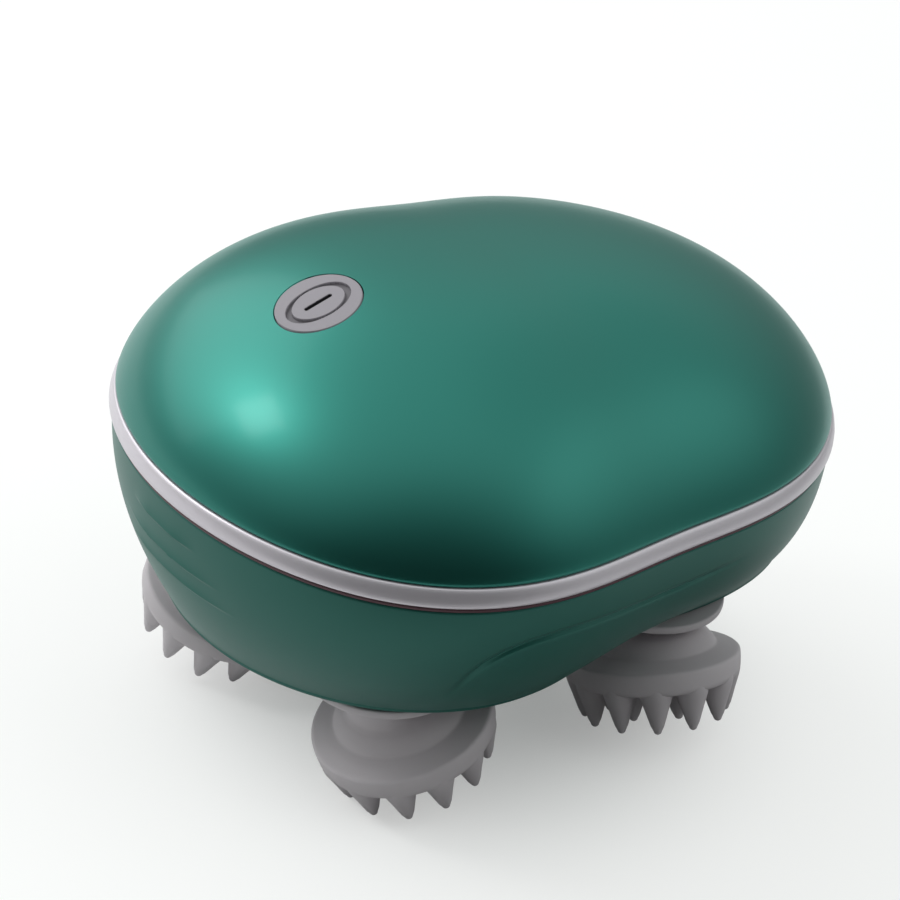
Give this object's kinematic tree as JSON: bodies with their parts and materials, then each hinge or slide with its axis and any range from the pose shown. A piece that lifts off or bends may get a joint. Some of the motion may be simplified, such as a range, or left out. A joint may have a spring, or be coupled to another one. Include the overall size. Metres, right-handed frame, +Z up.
{
  "type": "electric scalp massager",
  "caption": "Handheld scalp massager: a domed housing with a trim band and a push button, standing on rotating leaning silicone heads with conical teeth.",
  "frame": {"origin": "below the middle of the whole part, at the height of the lowest teeth", "axes": "+Z up along the head shafts; +X along the length, away from the power button; +Y across the width, towards the charging socket"},
  "size_m": [0.118, 0.0974, 0.0808],
  "materials": {
    "lid_green": "satin metallic",
    "shell_green": "satin",
    "trim_silver": "satin",
    "head_silicone": "matte",
    "button_grey": "satin",
    "dark_plastic": "matte",
    "dark_rubber": "matte",
    "steel": "ground",
    "bronze": "sintered",
    "gear_plastic": "moulded",
    "plate_plastic": "moulded",
    "board_green": "satin",
    "cell_blue": "satin"
  },
  "bodies": {
    "housing": {"lid": "lid_green", "trim_ring": "trim_silver", "seal_gasket": "dark_rubber", "lower_shell": "shell_green", "tact_switch": "dark_plastic", "circuit_board": "board_green", "board_screws": "steel", "charge_socket": "dark_plastic", "port_bezel": "trim_silver", "battery": "cell_blue", "battery_cradle": "dark_plastic", "motor": "steel", "motor_screws": "steel", "gearbox_base": "plate_plastic", "gearbox_cover": "plate_plastic", "gearbox_screws": "steel", "central_axle": "steel", "reduction_axle": "steel", "lower_bushes": "bronze", "upper_bushes": "bronze", "shaft_seals": "dark_rubber", "case_screws": "steel"},
    "button": {"power_button": "button_grey", "switch_plunger": "dark_plastic"},
    "motor_rotor": {"motor_shaft": "steel", "motor_pinion": "bronze"},
    "reduction": {"reduction_gear": "gear_plastic"},
    "centre": {"central_gear": "gear_plastic"},
    "head_front_left": {"massage_head_front_left": "head_silicone", "head_hub_front_left": "dark_plastic", "spindle_shaft_front_left": "steel", "output_gear_front_left": "gear_plastic"},
    "head_front_right": {"massage_head_front_right": "head_silicone", "head_hub_front_right": "dark_plastic", "spindle_shaft_front_right": "steel", "output_gear_front_right": "gear_plastic"},
    "head_rear_left": {"massage_head_rear_left": "head_silicone", "head_hub_rear_left": "dark_plastic", "spindle_shaft_rear_left": "steel", "output_gear_rear_left": "gear_plastic"},
    "head_rear_right": {"massage_head_rear_right": "head_silicone", "head_hub_rear_right": "dark_plastic", "spindle_shaft_rear_right": "steel", "output_gear_rear_right": "gear_plastic"}
  },
  "joints": [
    {"name": "button_press", "type": "slide", "parent": "housing", "child": "button", "axis": [-0.3635, 0, 0.9316], "range_m": [-0.0006, 0], "stiffness_N_per_m": 600},
    {"name": "reduction_spin", "type": "hinge", "parent": "housing", "child": "reduction", "pos_m": [-0.0046, 0.02469, 0.035], "axis": [0, 0, 1], "continuous": true},
    {"name": "motor_spin", "type": "hinge", "parent": "housing", "child": "motor_rotor", "pos_m": [-0.0046, 0.00969, 0.045], "axis": [0, 0, 1], "continuous": true},
    {"name": "centre_spin", "type": "hinge", "parent": "housing", "child": "centre", "pos_m": [-0.0046, 0, 0.035], "axis": [0, 0, 1], "continuous": true},
    {"name": "front_left_spin", "type": "hinge", "parent": "housing", "child": "head_front_left", "pos_m": [-0.0301, -0.0195, 0.03], "axis": [0, 0, 1], "continuous": true},
    {"name": "front_right_spin", "type": "hinge", "parent": "housing", "child": "head_front_right", "pos_m": [0.0209, -0.0195, 0.03], "axis": [0, 0, 1], "continuous": true},
    {"name": "rear_left_spin", "type": "hinge", "parent": "housing", "child": "head_rear_left", "pos_m": [-0.0301, 0.0195, 0.03], "axis": [0, 0, 1], "continuous": true},
    {"name": "rear_right_spin", "type": "hinge", "parent": "housing", "child": "head_rear_right", "pos_m": [0.0209, 0.0195, 0.03], "axis": [0, 0, 1], "continuous": true}
  ],
  "couplings": [
    {"joint": "centre_spin", "follows": "front_left_spin", "ratio": -0.625},
    {"joint": "front_right_spin", "follows": "front_left_spin", "ratio": 1},
    {"joint": "rear_left_spin", "follows": "front_left_spin", "ratio": 1},
    {"joint": "rear_right_spin", "follows": "front_left_spin", "ratio": 1},
    {"joint": "reduction_spin", "follows": "front_left_spin", "ratio": 2.5},
    {"joint": "motor_spin", "follows": "front_left_spin", "ratio": -10}
  ]
}
